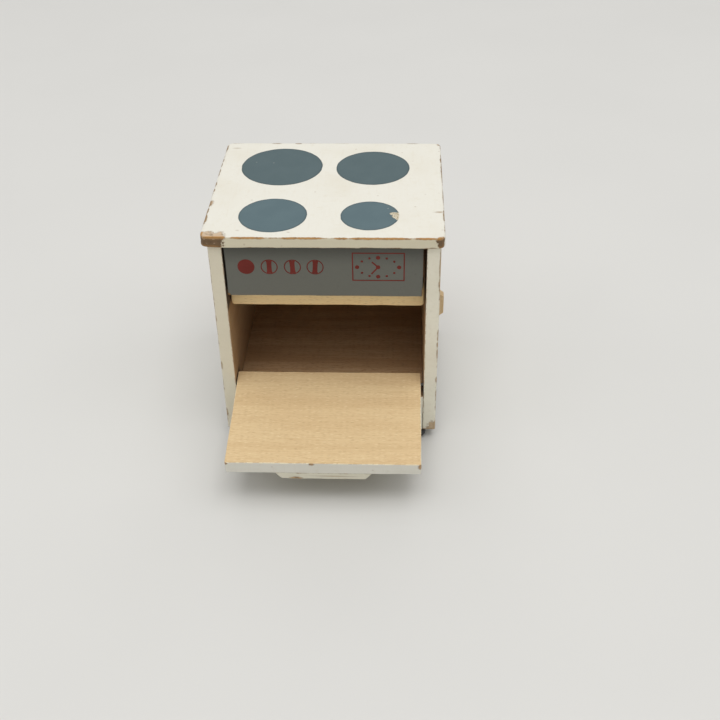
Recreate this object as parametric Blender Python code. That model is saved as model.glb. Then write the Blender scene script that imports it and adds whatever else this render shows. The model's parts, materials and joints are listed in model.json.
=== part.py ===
"""Wooden doll's-house stove with a drop-down oven door, modelled in metres, +Z up, front towards -Y.

The stove is a small open-fronted cabinet: two side boards, a thin back nailed on, an oven floor, a plinth
and a hob board glued on top. A printed control panel closes the top of the front, with a door stop rail
behind its lower edge. The oven door turns on two nails driven through the side boards. It is shown open,
where it rests on the front edge of the oven floor.

Sizes are worked out in the stove's own frame: X = 0 is the middle of the cabinet, Y = 0 is the front edge
of the hob board, and Z = 0 is the floor that the feet stand on. The last step centres the finished stove
over the origin.
"""

import math

import bmesh
import bpy
from mathutils import Matrix, Vector

# ------------------------------------------------------------------ driving dimensions, in metres
GLUE_GAP = 0.0003          # between two pieces that touch
NAIL_FIT = 0.0001          # between a nail and the wall of its hole
ARRIS = 0.0004             # rounding of a board's edges

CABINET_WIDTH = 0.0814     # over the side boards
CABINET_DEPTH = 0.0700     # of a side board, without the back
SIDE_HEIGHT = 0.0826
SIDE_THICKNESS = 0.0050
BACK_THICKNESS = 0.0030

HOB_THICKNESS = 0.0039
HOB_CORNER = 0.0017        # corner radius seen from above
HOB_OVERHANG_LEFT = 0.0023  # the hob board is glued on slightly to the left
HOB_OVERHANG_RIGHT = 0.0013
HOB_OVERHANG_FRONT = 0.0013
HOB_OVERHANG_BACK = 0.0008

PANEL_HEIGHT = 0.0206
PANEL_RECESS = 0.0003      # behind the front edges of the sides
PANEL_GAP_LEFT = 0.00055
PANEL_GAP_RIGHT = 0.00115

RAIL_THICKNESS = 0.0050
RAIL_HEIGHT = 0.0099
RAIL_DROP = 0.0075         # how far the rail reaches below the control panel
RAIL_CORNER = 0.0012       # rounding of the rail's lower corners
RAIL_GAP = 0.00045         # at each end of the rail

PLINTH_HEIGHT = 0.0122
PLINTH_THICKNESS = 0.0040
FLOOR_THICKNESS = 0.0040
BLOCK_SIZE = 0.0100        # corner block, along X and Y

DOOR_THICKNESS = 0.0056
DOOR_GAP_LEFT = 0.0003
DOOR_GAP_RIGHT = 0.0010
DOOR_END_GAP = 0.0003      # above and below the closed door
DOOR_STOP_GAP = 0.0003     # between the closed door and the rail
DOOR_REST_GAP = 0.00047    # between the open door and the front edge of the oven floor
PIN_END_WOOD = 0.00065     # how much further the hinge axis is from the door's end than from its faces

HANDLE_LENGTH = 0.0350     # where it is glued to the door
HANDLE_OUTER_LENGTH = 0.0302
HANDLE_WIDTH = 0.0070
HANDLE_THICKNESS = 0.0029

PIN_RADIUS = 0.0006
PIN_HEAD_RADIUS = 0.0012
PIN_HEAD_THICKNESS = 0.0005
PIN_IN_DOOR = 0.0070       # how deep a hinge nail reaches into the door

SIDE_BLOCK_HEIGHT = 0.0126  # where it is glued to the right side
SIDE_BLOCK_WIDTH = 0.0042
SIDE_BLOCK_OUTER_HEIGHT = 0.0078
SIDE_BLOCK_OUTER_WIDTH = 0.0034
SIDE_BLOCK_THICKNESS = 0.0028
SIDE_BLOCK_BACK = 0.0351   # from the cabinet's front to the middle of the block
SIDE_BLOCK_RAISE = 0.0365  # from the bottom of the side board to the middle of the block

FOOT_HEIGHT = 0.0040
FOOT_RADIUS = 0.0044
FOOT_FLAT = 0.0016         # radius of the flat that the foot stands on
FOOT_RIM = 0.0012          # height of the straight band above the dome
FOOT_FROM_SIDE = 0.0027    # from the outer face of a corner block to the middle of a foot
FOOT_FROM_BACK = 0.0020    # from the back face of a rear block to the middle of a foot

BRAD_RADIUS = 0.0005
BRAD_HEAD_RADIUS = 0.0010
BRAD_HEAD_THICKNESS = 0.0004
BRAD_LENGTH = 0.0085
BRAD_ROWS = 3              # up each side board
BRAD_END_GAP = 0.0110      # from the back board's top and bottom to the outer brads
FOOT_NAIL_RADIUS = 0.0006
FOOT_NAIL_IN_FOOT = 0.0022
FOOT_NAIL_IN_WOOD = 0.0070

ROUND_STEPS = 24           # sides of a nail or a nail hole
FOOT_STEPS = 36
ARC_STEPS = 6              # straight runs in a quarter arc

# ------------------------------------------------------------------ places worked out from them
CABINET_FRONT = HOB_OVERHANG_FRONT
CABINET_BACK = CABINET_FRONT + CABINET_DEPTH
BACK_FRONT = CABINET_BACK + GLUE_GAP
BACK_BACK = BACK_FRONT + BACK_THICKNESS
OUTER_X = CABINET_WIDTH / 2
INNER_X = OUTER_X - SIDE_THICKNESS
SIDE_BOTTOM = FOOT_HEIGHT
SIDE_TOP = SIDE_BOTTOM + SIDE_HEIGHT
HOB_BOTTOM = SIDE_TOP + GLUE_GAP

PLINTH_TOP = SIDE_BOTTOM + PLINTH_HEIGHT
FLOOR_BOTTOM = PLINTH_TOP + GLUE_GAP
FLOOR_TOP = FLOOR_BOTTOM + FLOOR_THICKNESS

DOOR_BOTTOM = FLOOR_TOP + DOOR_END_GAP
PANEL_BOTTOM = SIDE_TOP - PANEL_HEIGHT
DOOR_LENGTH = PANEL_BOTTOM - DOOR_END_GAP - DOOR_BOTTOM
DOOR_LEFT = -INNER_X + DOOR_GAP_LEFT
DOOR_RIGHT = INNER_X - DOOR_GAP_RIGHT
PIN_ABOVE_END = DOOR_THICKNESS / 2 + PIN_END_WOOD
HINGE_Y = CABINET_FRONT + DOOR_THICKNESS / 2
HINGE_Z = DOOR_BOTTOM + PIN_ABOVE_END

RAIL_FRONT = CABINET_FRONT + DOOR_THICKNESS + DOOR_STOP_GAP
RAIL_BOTTOM = PANEL_BOTTOM - RAIL_DROP
PANEL_FRONT = CABINET_FRONT + PANEL_RECESS
PANEL_BACK = RAIL_FRONT - GLUE_GAP


# ------------------------------------------------------------------ scene and materials
def clear_scene():
    """Empties the file, whatever it was opened with."""
    for item in list(bpy.data.objects):
        bpy.data.objects.remove(item, do_unlink=True)


def finish(name, colour, roughness, metallic=0.0):
    """A Principled material of one colour."""
    material = bpy.data.materials.new(name)
    material.use_nodes = True
    shader = material.node_tree.nodes["Principled BSDF"]
    shader.inputs["Base Color"].default_value = (*colour, 1.0)
    shader.inputs["Roughness"].default_value = roughness
    shader.inputs["Metallic"].default_value = metallic
    return material


# ------------------------------------------------------------------ meshes
def new_object(name, mesh_data, parent=None, material=None):
    """Turns a bmesh into a named object under its parent."""
    bmesh.ops.recalc_face_normals(mesh_data, faces=mesh_data.faces)
    mesh = bpy.data.meshes.new(name)
    mesh_data.to_mesh(mesh)
    mesh_data.free()
    item = bpy.data.objects.new(name, mesh)
    bpy.context.scene.collection.objects.link(item)
    item.parent = parent
    if material:
        mesh.materials.append(material)
    return item


def round_edges(item, width=ARRIS):
    """Rounds every sharp edge of a board."""
    bevel = item.modifiers.new("round_edges", "BEVEL")
    bevel.width = width
    bevel.segments = 2
    bevel.limit_method = "ANGLE"
    bevel.angle_limit = math.radians(40)
    return item


def box_mesh(low, high):
    """A box between two corners."""
    size = [high[i] - low[i] for i in range(3)]
    middle = [(high[i] + low[i]) / 2 for i in range(3)]
    data = bmesh.new()
    place = Matrix.Translation(middle) @ Matrix.Diagonal((*size, 1.0))
    bmesh.ops.create_cube(data, size=1.0, matrix=place)
    return data


def board(name, low, high, parent, material, arris=ARRIS):
    """A board between two corners, with its edges rounded."""
    item = new_object(name, box_mesh(low, high), parent, material)
    return round_edges(item, arris)


def arc(centre, radius, start, end, steps=ARC_STEPS):
    """Points on an arc, angles in degrees, both ends included."""
    points = []
    for i in range(steps + 1):
        angle = math.radians(start + (end - start) * i / steps)
        points.append((centre[0] + radius * math.cos(angle), centre[1] + radius * math.sin(angle)))
    return points


def prism_mesh(outline, start, end, place):
    """An outline pulled from start to end. place turns (a, b, depth) into (x, y, z)."""
    data = bmesh.new()
    face = data.faces.new([data.verts.new(place(a, b, start)) for a, b in outline])
    pulled = bmesh.ops.extrude_face_region(data, geom=[face])
    moved = [v for v in pulled["geom"] if isinstance(v, bmesh.types.BMVert)]
    shift = Vector(place(0, 0, end)) - Vector(place(0, 0, start))
    bmesh.ops.translate(data, verts=moved, vec=shift)
    return data


def frustum_mesh(base, top, height):
    """A block on the XY plane that narrows from one (x, y) size at its base to another at its top."""
    data = bmesh.new()
    corners = ((-1, -1), (1, -1), (1, 1), (-1, 1))
    low = [data.verts.new((base[0] / 2 * a, base[1] / 2 * b, 0)) for a, b in corners]
    high = [data.verts.new((top[0] / 2 * a, top[1] / 2 * b, height)) for a, b in corners]
    data.faces.new(low)
    data.faces.new(high)
    for i in range(4):
        j = (i + 1) % 4
        data.faces.new((low[i], low[j], high[j], high[i]))
    return data


def turned_mesh(profile, steps, matrix=Matrix.Identity(4)):
    """A solid turned about Z from (radius, height) points, lowest first. The first and last radius are 0."""
    data = bmesh.new()
    ends = [data.verts.new(matrix @ Vector((0, 0, profile[0][1])))]
    rings = []
    for radius, height in profile[1:-1]:
        turns = [2 * math.pi * i / steps for i in range(steps)]
        rings.append([
            data.verts.new(matrix @ Vector((radius * math.cos(t), radius * math.sin(t), height)))
            for t in turns
        ])
    ends.append(data.verts.new(matrix @ Vector((0, 0, profile[-1][1]))))
    for i in range(steps):
        j = (i + 1) % steps
        data.faces.new((ends[0], rings[0][j], rings[0][i]))
        data.faces.new((ends[1], rings[-1][i], rings[-1][j]))
        for below, above in zip(rings, rings[1:]):
            data.faces.new((below[i], below[j], above[j], above[i]))
    return data


def nail_profile(radius, length, head_radius=0.0, head_thickness=0.0, grow=0.0, head_rise=0.0):
    """Profile of a nail whose point is at the bottom and whose head ends at height 0.

    grow enlarges it into the hole that the nail sits in, and head_rise carries the hole past the surface.
    """
    points = [(0, -length - grow), (radius + grow, -length - grow)]
    if head_radius:
        points += [(radius + grow, -head_thickness - grow), (head_radius + grow, -head_thickness - grow)]
        points.append((head_radius + grow, head_rise))
    else:
        points.append((radius + grow, head_rise))
    points.append((0, head_rise))
    return points


def cut_hole(item, profile, place, parent):
    """Cuts a turned hole out of an object."""
    cutter = new_object(f"hole_in_{item.name}", turned_mesh(profile, ROUND_STEPS, place), parent)
    cutter.hide_render = True
    cutter.display_type = "WIRE"
    boolean = item.modifiers.new("hole", "BOOLEAN")
    boolean.operation = "DIFFERENCE"
    boolean.solver = "EXACT"
    boolean.object = cutter


def turn_z_to(direction, at):
    """Matrix that carries +Z to a direction and the origin to a point."""
    return Matrix.Translation(at) @ Vector(direction).to_track_quat("Z", "Y").to_matrix().to_4x4()


# ------------------------------------------------------------------ the cabinet
def make_sides(stove, paint):
    """The two side boards, standing on the feet."""
    sides = {}
    for name, low_x, high_x in (
        ("left_side", -OUTER_X, -INNER_X),
        ("right_side", INNER_X, OUTER_X),
    ):
        low = (low_x, CABINET_FRONT, SIDE_BOTTOM)
        sides[name] = board(name, low, (high_x, CABINET_BACK, SIDE_TOP), stove, paint)
    return sides


def make_hob(stove, paint):
    """The hob board, with rounded corners seen from above."""
    left = -OUTER_X - HOB_OVERHANG_LEFT + HOB_CORNER
    right = OUTER_X + HOB_OVERHANG_RIGHT - HOB_CORNER
    front = CABINET_FRONT - HOB_OVERHANG_FRONT + HOB_CORNER
    back = BACK_BACK + HOB_OVERHANG_BACK - HOB_CORNER
    outline = []
    for x, y, start in ((right, back, 0), (left, back, 90), (left, front, 180), (right, front, 270)):
        outline += arc((x, y), HOB_CORNER, start, start + 90)
    data = prism_mesh(outline, HOB_BOTTOM, HOB_BOTTOM + HOB_THICKNESS, lambda a, b, c: (a, b, c))
    return round_edges(new_object("hob_top", data, stove, paint), ARRIS * 1.5)


def make_back(stove, wood):
    """The thin back board, nailed on behind the sides."""
    low = (-OUTER_X, BACK_FRONT, SIDE_BOTTOM)
    return board("back_panel", low, (OUTER_X, BACK_BACK, SIDE_TOP), stove, wood, ARRIS / 2)


def make_front(stove, paint, grey, wood):
    """Control panel, door stop rail, oven floor and plinth. Returns the plinth."""
    low = (-INNER_X + PANEL_GAP_LEFT, PANEL_FRONT, PANEL_BOTTOM)
    board("control_panel", low, (INNER_X - PANEL_GAP_RIGHT, PANEL_BACK, SIDE_TOP), stove, grey)

    half = INNER_X - RAIL_GAP
    top = RAIL_BOTTOM + RAIL_HEIGHT
    outline = [(half, top), (-half, top)]
    outline += arc((-half + RAIL_CORNER, RAIL_BOTTOM + RAIL_CORNER), RAIL_CORNER, 180, 270)
    outline += arc((half - RAIL_CORNER, RAIL_BOTTOM + RAIL_CORNER), RAIL_CORNER, 270, 360)
    data = prism_mesh(outline, RAIL_FRONT, RAIL_FRONT + RAIL_THICKNESS, lambda a, b, c: (a, c, b))
    round_edges(new_object("door_stop_rail", data, stove, wood), ARRIS * 1.5)

    half = INNER_X - GLUE_GAP
    low = (-half, CABINET_FRONT, FLOOR_BOTTOM)
    board("oven_floor", low, (half, CABINET_BACK, FLOOR_TOP), stove, wood)
    low = (-half, CABINET_FRONT, SIDE_BOTTOM)
    return board("front_plinth", low, (half, CABINET_FRONT + PLINTH_THICKNESS, PLINTH_TOP), stove, paint)


def make_side_block(stove, wood):
    """The small upright block with bevelled ends, glued to the outside of the right side board."""
    data = frustum_mesh(
        (SIDE_BLOCK_HEIGHT, SIDE_BLOCK_WIDTH),
        (SIDE_BLOCK_OUTER_HEIGHT, SIDE_BLOCK_OUTER_WIDTH),
        SIDE_BLOCK_THICKNESS,
    )
    item = round_edges(new_object("side_block", data, stove, wood), ARRIS / 2)
    item.location = (OUTER_X + GLUE_GAP, CABINET_FRONT + SIDE_BLOCK_BACK, SIDE_BOTTOM + SIDE_BLOCK_RAISE)
    item.rotation_euler = (0, math.radians(90), 0)


# ------------------------------------------------------------------ feet
def foot_profile():
    """A domed furniture glide: a flat-topped cap, whose underside is an arc down to a small flat."""
    top = FOOT_HEIGHT - GLUE_GAP
    dome = top - FOOT_RIM
    points = [(0, 0)]
    for i in range(ARC_STEPS + 1):
        angle = math.radians(90 * i / ARC_STEPS)
        radius = FOOT_FLAT + (FOOT_RADIUS - FOOT_FLAT) * math.sin(angle)
        points.append((radius, dome * (1 - math.cos(angle))))
    return points + [(FOOT_RADIUS, top), (0, top)]


def make_feet(stove, plinth, wood, plastic, steel):
    """Four glides and their nails, and the corner blocks. The front nails go into the plinth, the rear ones
    into the rear blocks.
    """
    nail_top = SIDE_BOTTOM + FOOT_NAIL_IN_WOOD
    nail_length = FOOT_NAIL_IN_WOOD + GLUE_GAP + FOOT_NAIL_IN_FOOT
    front_block = CABINET_FRONT + PLINTH_THICKNESS + GLUE_GAP
    rear_block = CABINET_BACK - BLOCK_SIZE
    for depth, block_y, y in (
        ("front", front_block, CABINET_FRONT + PLINTH_THICKNESS / 2),
        ("rear", rear_block, CABINET_BACK - FOOT_FROM_BACK),
    ):
        for side, sign in (("left", -1), ("right", 1)):
            outer = sign * (INNER_X - GLUE_GAP)
            inner = outer - sign * BLOCK_SIZE
            x = outer - sign * FOOT_FROM_SIDE
            low = (min(inner, outer), block_y, SIDE_BOTTOM)
            high = (max(inner, outer), block_y + BLOCK_SIZE, PLINTH_TOP)
            block = board(f"corner_block_{depth}_{side}", low, high, stove, wood, ARRIS / 2)
            foot = new_object(
                f"foot_{depth}_{side}", turned_mesh(foot_profile(), FOOT_STEPS), stove, plastic
            )
            foot.location = (x, y, 0)

            place = Matrix.Translation((x, y, nail_top))
            nail = turned_mesh(nail_profile(FOOT_NAIL_RADIUS, nail_length), ROUND_STEPS, place)
            new_object(f"foot_nail_{depth}_{side}", nail, stove, steel)
            hole = nail_profile(FOOT_NAIL_RADIUS, nail_length, grow=NAIL_FIT, head_rise=NAIL_FIT)
            for target in (plinth if depth == "front" else block, foot):
                cut_hole(target, hole, place, stove)


# ------------------------------------------------------------------ nails through the boards
def make_back_brads(stove, sides, back, steel):
    """Brads through the back board into the back edges of the sides."""
    run = SIDE_HEIGHT - 2 * BRAD_END_GAP
    for x, side in ((-OUTER_X + SIDE_THICKNESS / 2, "left"), (OUTER_X - SIDE_THICKNESS / 2, "right")):
        for i in range(BRAD_ROWS):
            z = SIDE_BOTTOM + BRAD_END_GAP + run * i / (BRAD_ROWS - 1)
            place = turn_z_to((0, 1, 0), (x, BACK_BACK, z))
            sizes = (BRAD_RADIUS, BRAD_LENGTH, BRAD_HEAD_RADIUS, BRAD_HEAD_THICKNESS)
            brad = turned_mesh(nail_profile(*sizes), ROUND_STEPS, place)
            new_object(f"back_brad_{side}_{i + 1}", brad, stove, steel)
            hole = nail_profile(*sizes, grow=NAIL_FIT, head_rise=GLUE_GAP)
            for target in (back, sides[f"{side}_side"]):
                cut_hole(target, hole, place, stove)


def make_hinge_pins(stove, sides, door, steel):
    """The nails that the door turns on: driven through the sides, running freely in the door's ends."""
    for side, sign, door_end in (("left", -1, DOOR_LEFT), ("right", 1, DOOR_RIGHT)):
        length = OUTER_X - abs(door_end) + PIN_IN_DOOR
        place = turn_z_to((sign, 0, 0), (sign * OUTER_X, HINGE_Y, HINGE_Z))
        sizes = (PIN_RADIUS, length, PIN_HEAD_RADIUS, PIN_HEAD_THICKNESS)
        pin = turned_mesh(nail_profile(*sizes), ROUND_STEPS, place)
        new_object(f"hinge_pin_{side}", pin, stove, steel)
        hole = nail_profile(*sizes, grow=NAIL_FIT, head_rise=GLUE_GAP)
        for target in (sides[f"{side}_side"], door):
            cut_hole(target, hole, place, stove)


# ------------------------------------------------------------------ the door
def door_open_angle():
    """How far the door turns, in degrees, before its outer face meets the front edge of the oven floor."""
    half = DOOR_THICKNESS / 2
    drop = PIN_ABOVE_END + DOOR_END_GAP
    reach = math.acos((half + DOOR_REST_GAP) / math.hypot(half, drop))
    return 90 + math.degrees(reach - math.atan2(half, drop))


def door_outline():
    """The door's section across its width, closed, measured from the hinge axis as (y, z).

    The outer lower corner is rounded about the axis, so that it clears the oven floor as the door turns.
    """
    half = DOOR_THICKNESS / 2
    top = DOOR_LENGTH - PIN_ABOVE_END
    turn = math.degrees(math.acos(half / PIN_ABOVE_END))
    outline = [(half, -PIN_ABOVE_END), (half, top), (-half, top)]
    return outline + arc((0, 0), PIN_ABOVE_END, 180 + turn, 270)


def make_door(stove, wood, paint):
    """The oven door and its handle, on an empty that stands on the hinge axis."""
    hinge = bpy.data.objects.new("door_hinge_axis", None)
    bpy.context.scene.collection.objects.link(hinge)
    hinge.parent = stove
    hinge.location = (0, HINGE_Y, HINGE_Z)

    data = prism_mesh(door_outline(), DOOR_LEFT, DOOR_RIGHT, lambda a, b, c: (c, a, b))
    door = round_edges(new_object("oven_door", data, hinge, wood))

    handle_data = frustum_mesh(
        (HANDLE_LENGTH, HANDLE_WIDTH), (HANDLE_OUTER_LENGTH, HANDLE_WIDTH), HANDLE_THICKNESS
    )
    handle = round_edges(new_object("door_handle", handle_data, hinge, paint), ARRIS)
    handle.location = (
        (DOOR_LEFT + DOOR_RIGHT) / 2,
        -DOOR_THICKNESS / 2 - GLUE_GAP,
        DOOR_LENGTH - PIN_ABOVE_END - HANDLE_WIDTH / 2,
    )
    handle.rotation_euler = (math.radians(90), 0, 0)
    return hinge, door


def centre_over_origin(stove):
    """Moves the stove so that the middle of its footprint, door open, stands over the origin."""
    bpy.context.view_layer.update()
    graph = bpy.context.evaluated_depsgraph_get()
    corners = []
    for item in bpy.data.objects:
        if item.type == "MESH" and not item.hide_render:
            shown = item.evaluated_get(graph)
            corners += [shown.matrix_world @ v.co for v in shown.data.vertices]
    for axis in (0, 1):
        values = [corner[axis] for corner in corners]
        stove.location[axis] = -(min(values) + max(values)) / 2


def main():
    """Builds the stove."""
    clear_scene()
    paint = finish("cream_paint", (0.80, 0.77, 0.69), 0.45)
    grey = finish("grey_paint", (0.16, 0.17, 0.17), 0.45)
    wood = finish("raw_beech", (0.66, 0.45, 0.25), 0.65)
    plastic = finish("black_plastic", (0.015, 0.015, 0.015), 0.4)
    steel = finish("steel_nail", (0.45, 0.44, 0.42), 0.35, 1.0)

    stove = bpy.data.objects.new("stove", None)
    bpy.context.scene.collection.objects.link(stove)

    sides = make_sides(stove, paint)
    back = make_back(stove, wood)
    make_hob(stove, paint)
    plinth = make_front(stove, paint, grey, wood)
    make_side_block(stove, wood)
    make_feet(stove, plinth, wood, plastic, steel)
    make_back_brads(stove, sides, back, steel)
    hinge, door = make_door(stove, wood, paint)
    make_hinge_pins(stove, sides, door, steel)
    hinge.rotation_euler = (math.radians(door_open_angle()), 0, 0)
    centre_over_origin(stove)


main()
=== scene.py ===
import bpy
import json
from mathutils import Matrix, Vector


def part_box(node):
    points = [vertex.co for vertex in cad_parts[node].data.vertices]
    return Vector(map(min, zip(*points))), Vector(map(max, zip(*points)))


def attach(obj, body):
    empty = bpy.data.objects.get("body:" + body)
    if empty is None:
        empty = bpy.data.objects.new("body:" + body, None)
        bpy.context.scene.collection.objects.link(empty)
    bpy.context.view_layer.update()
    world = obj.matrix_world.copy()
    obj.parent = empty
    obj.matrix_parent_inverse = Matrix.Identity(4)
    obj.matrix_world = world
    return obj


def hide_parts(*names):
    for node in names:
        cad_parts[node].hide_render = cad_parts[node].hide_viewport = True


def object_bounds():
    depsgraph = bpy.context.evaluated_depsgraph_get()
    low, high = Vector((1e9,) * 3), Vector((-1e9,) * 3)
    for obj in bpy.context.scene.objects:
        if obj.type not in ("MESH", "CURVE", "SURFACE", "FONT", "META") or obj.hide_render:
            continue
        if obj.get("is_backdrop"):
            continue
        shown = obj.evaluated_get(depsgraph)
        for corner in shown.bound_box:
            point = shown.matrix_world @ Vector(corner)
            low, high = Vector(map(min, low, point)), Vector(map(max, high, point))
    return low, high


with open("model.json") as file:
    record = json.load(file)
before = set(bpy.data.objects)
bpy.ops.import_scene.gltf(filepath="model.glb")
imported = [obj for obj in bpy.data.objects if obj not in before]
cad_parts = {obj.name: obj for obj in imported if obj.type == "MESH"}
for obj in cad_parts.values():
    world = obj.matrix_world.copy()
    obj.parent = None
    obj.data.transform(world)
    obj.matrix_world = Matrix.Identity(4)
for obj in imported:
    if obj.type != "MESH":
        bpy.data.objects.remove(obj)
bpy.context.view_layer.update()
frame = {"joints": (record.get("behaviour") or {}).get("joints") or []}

"""The looks of a small painted wooden doll's-house stove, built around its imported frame.

Every piece of the stove is rebuilt as a finer mesh in the place of its frame node: boards with softened,
worn arrises, turned nails and glides, and thin films of print for the hot plates, dials and clock.
Finishes are made of shader nodes only. Lengths in the classes below are millimetres.
"""

import json
import logging
import math
from dataclasses import dataclass, field
from enum import Enum
from typing import Callable, Optional, Sequence, Union

import bmesh
import bpy
import numpy as np
from mathutils import Euler, Matrix, Vector, noise

MM = 0.001
FLAT_FACE_WEIGHT = 80
NOISE_DRIFT = (1.0, 1.7, 0.6)
CELL_DRIFT = (1.0, 1.3, 0.8)
ARRIS_CUTS = (0.0, 0.18, 0.36, 0.56, 0.78, 1.0)
BLACK = (0.0, 0.0, 0.0)
WHITE = (1.0, 1.0, 1.0)
Colour = tuple[float, float, float]
Triple = tuple[float, float, float]
Place = tuple[float, float]
Scale = Union[float, Triple]
log = logging.getLogger("stove")


# ================================================================== shader arithmetic
class Value:
    """A number that changes over a surface, used in Python expressions that become Math nodes."""

    def __init__(self, shading: "Shading", socket: bpy.types.NodeSocket) -> None:
        """Wraps an output socket of a shading's node tree."""
        self.shading = shading
        self.socket = socket

    def _math(self, operation: str, first: "Number", second: "Number" = 0.0) -> "Value":
        """Adds one Math node."""
        made = self.shading.node("ShaderNodeMath", {"operation": operation}, {0: first, 1: second})
        return Value(self.shading, made.outputs[0])

    def __add__(self, other: "Number") -> "Value":
        """self + other."""
        return self._math("ADD", self, other)

    __radd__ = __add__

    def __sub__(self, other: "Number") -> "Value":
        """self - other."""
        return self._math("SUBTRACT", self, other)

    def __rsub__(self, other: "Number") -> "Value":
        """other - self."""
        return self._math("SUBTRACT", other, self)

    def __mul__(self, other: "Number") -> "Value":
        """self * other."""
        return self._math("MULTIPLY", self, other)

    __rmul__ = __mul__

    def __abs__(self) -> "Value":
        """The size of the value."""
        return self._math("ABSOLUTE", self)

    def at_least(self, other: "Number") -> "Value":
        """The larger of the two."""
        return self._math("MAXIMUM", self, other)

    def at_most(self, other: "Number") -> "Value":
        """The smaller of the two."""
        return self._math("MINIMUM", self, other)

    def rises(self, start: float, end: float) -> "Value":
        """0 up to start, 1 from end on, and a smooth rise between them. start may be the larger.

        Args:
            start: where the result is 0.
            end: where the result is 1.

        Returns:
            The mask.
        """
        made = self.shading.node(
            "ShaderNodeMapRange",
            {"interpolation_type": "SMOOTHSTEP"},
            {"Value": self, "From Min": start, "From Max": end},
        )
        return Value(self.shading, made.outputs[0])


Number = Union[int, float, Value]
Feed = Union[int, float, tuple, Value, bpy.types.NodeSocket]


class Shading:
    """A material under construction."""

    def __init__(self, name: str) -> None:
        """Makes an empty Principled material.

        Args:
            name: the material's name.
        """
        self.material = bpy.data.materials.new(name)
        self.material.use_nodes = True
        self.tree = self.material.node_tree
        self.principled = self.tree.nodes["Principled BSDF"]

    def node(
        self, kind: str, settings: Optional[dict] = None, inputs: Optional[dict] = None
    ) -> bpy.types.Node:
        """Adds any node.

        Args:
            kind: the node's type.
            settings: its properties, set first.
            inputs: values or links by socket name or number.

        Returns:
            The node.
        """
        made = self.tree.nodes.new(kind)
        for key, value in (settings or {}).items():
            setattr(made, key, value)
        for key, value in (inputs or {}).items():
            self.feed(made.inputs[key], value)
        return made

    def feed(self, socket: bpy.types.NodeSocket, value: Feed) -> None:
        """Links a socket, or sets its value.

        Args:
            socket: the input socket.
            value: what it gets.
        """
        if isinstance(value, Value):
            value = value.socket
        if isinstance(value, bpy.types.NodeSocket):
            self.tree.links.new(value, socket)
        elif isinstance(value, tuple) and socket.type == "RGBA":
            socket.default_value = (*value, 1.0)
        else:
            socket.default_value = value

    def place(self) -> bpy.types.NodeSocket:
        """The point on the surface in the piece's own frame, in millimetres."""
        point = self.node("ShaderNodeTexCoord").outputs["Object"]
        return self.vector("SCALE", point, **{"Scale": 1 / MM})

    def vector(self, operation: str, *parts: Feed, **named: Feed) -> bpy.types.NodeSocket:
        """A Vector Math node's vector."""
        inputs = {**dict(enumerate(parts)), **named}
        return self.node("ShaderNodeVectorMath", {"operation": operation}, inputs).outputs["Vector"]

    def length(self, vector: Feed) -> Value:
        """The length of a vector."""
        made = self.node("ShaderNodeVectorMath", {"operation": "LENGTH"}, {0: vector})
        return Value(self, made.outputs["Value"])

    def parts(self, vector: Feed) -> tuple[Value, Value, Value]:
        """The three parts of a vector."""
        made = self.node("ShaderNodeSeparateXYZ", None, {0: vector})
        return tuple(Value(self, output) for output in made.outputs)

    def mix(self, below: Feed, above: Feed, mask: Number) -> bpy.types.NodeSocket:
        """One colour over another where mask is 1."""
        made = self.node("ShaderNodeMix", {"data_type": "RGBA"}, {0: mask, 6: below, 7: above})
        return made.outputs[2]

    def blend(self, below: Number, above: Number, mask: Value) -> Value:
        """One number over another where mask is 1."""
        return mask * above + (1 - mask) * below

    def _spread(self, point: Feed, scale: Scale, shift: float, drift: Triple) -> bpy.types.NodeSocket:
        """The point scaled for a pattern, one way for all axes or each its own, and moved along it."""
        scales = scale if isinstance(scale, tuple) else (scale,) * 3
        return self.vector("MULTIPLY_ADD", point, scales, tuple(shift * part for part in drift))

    def noise(self, point: Feed, scale: Scale, detail: float = 2.0, shift: float = 0.0) -> Value:
        """Noise from 0 to 1, about 0.5.

        Args:
            point: where, in millimetres.
            scale: how many times a millimetre it changes, along all axes or each.
            detail: octaves.
            shift: moves the pattern, so that two boards differ.

        Returns:
            The noise.
        """
        at = self._spread(point, scale, shift, NOISE_DRIFT)
        made = self.node("ShaderNodeTexNoise", None, {"Vector": at, "Scale": 1.0, "Detail": detail})
        return Value(self, made.outputs[0])

    def cells(self, point: Feed, scale: Scale, shift: float = 0.0) -> tuple[Value, Value]:
        """Scattered spots.

        Args:
            point: where, in millimetres.
            scale: cells to a millimetre, along all axes or each.
            shift: moves the pattern.

        Returns:
            The distance to the nearest spot's middle, and a random number for each spot.
        """
        at = self._spread(point, scale, shift, CELL_DRIFT)
        made = self.node("ShaderNodeTexVoronoi", None, {"Vector": at, "Scale": 1.0})
        return Value(self, made.outputs["Distance"]), self.parts(made.outputs["Color"])[0]

    def finish(self, layer: "Layer", specular: float = 0.5, metallic: float = 0.0) -> bpy.types.Material:
        """Connects a layer to the shader.

        Args:
            layer: colour, roughness and height.
            specular: the shader's specular level.
            metallic: the shader's metallic value.

        Returns:
            The material.
        """
        bump = self.node("ShaderNodeBump", None, {"Strength": 1.0, "Distance": MM, "Height": layer.height})
        self.feed(self.principled.inputs["Normal"], bump.outputs[0])
        self.feed(self.principled.inputs["Base Color"], layer.colour)
        self.feed(self.principled.inputs["Roughness"], layer.roughness)
        self.principled.inputs["Specular IOR Level"].default_value = specular
        self.principled.inputs["Metallic"].default_value = metallic
        return self.material


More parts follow.
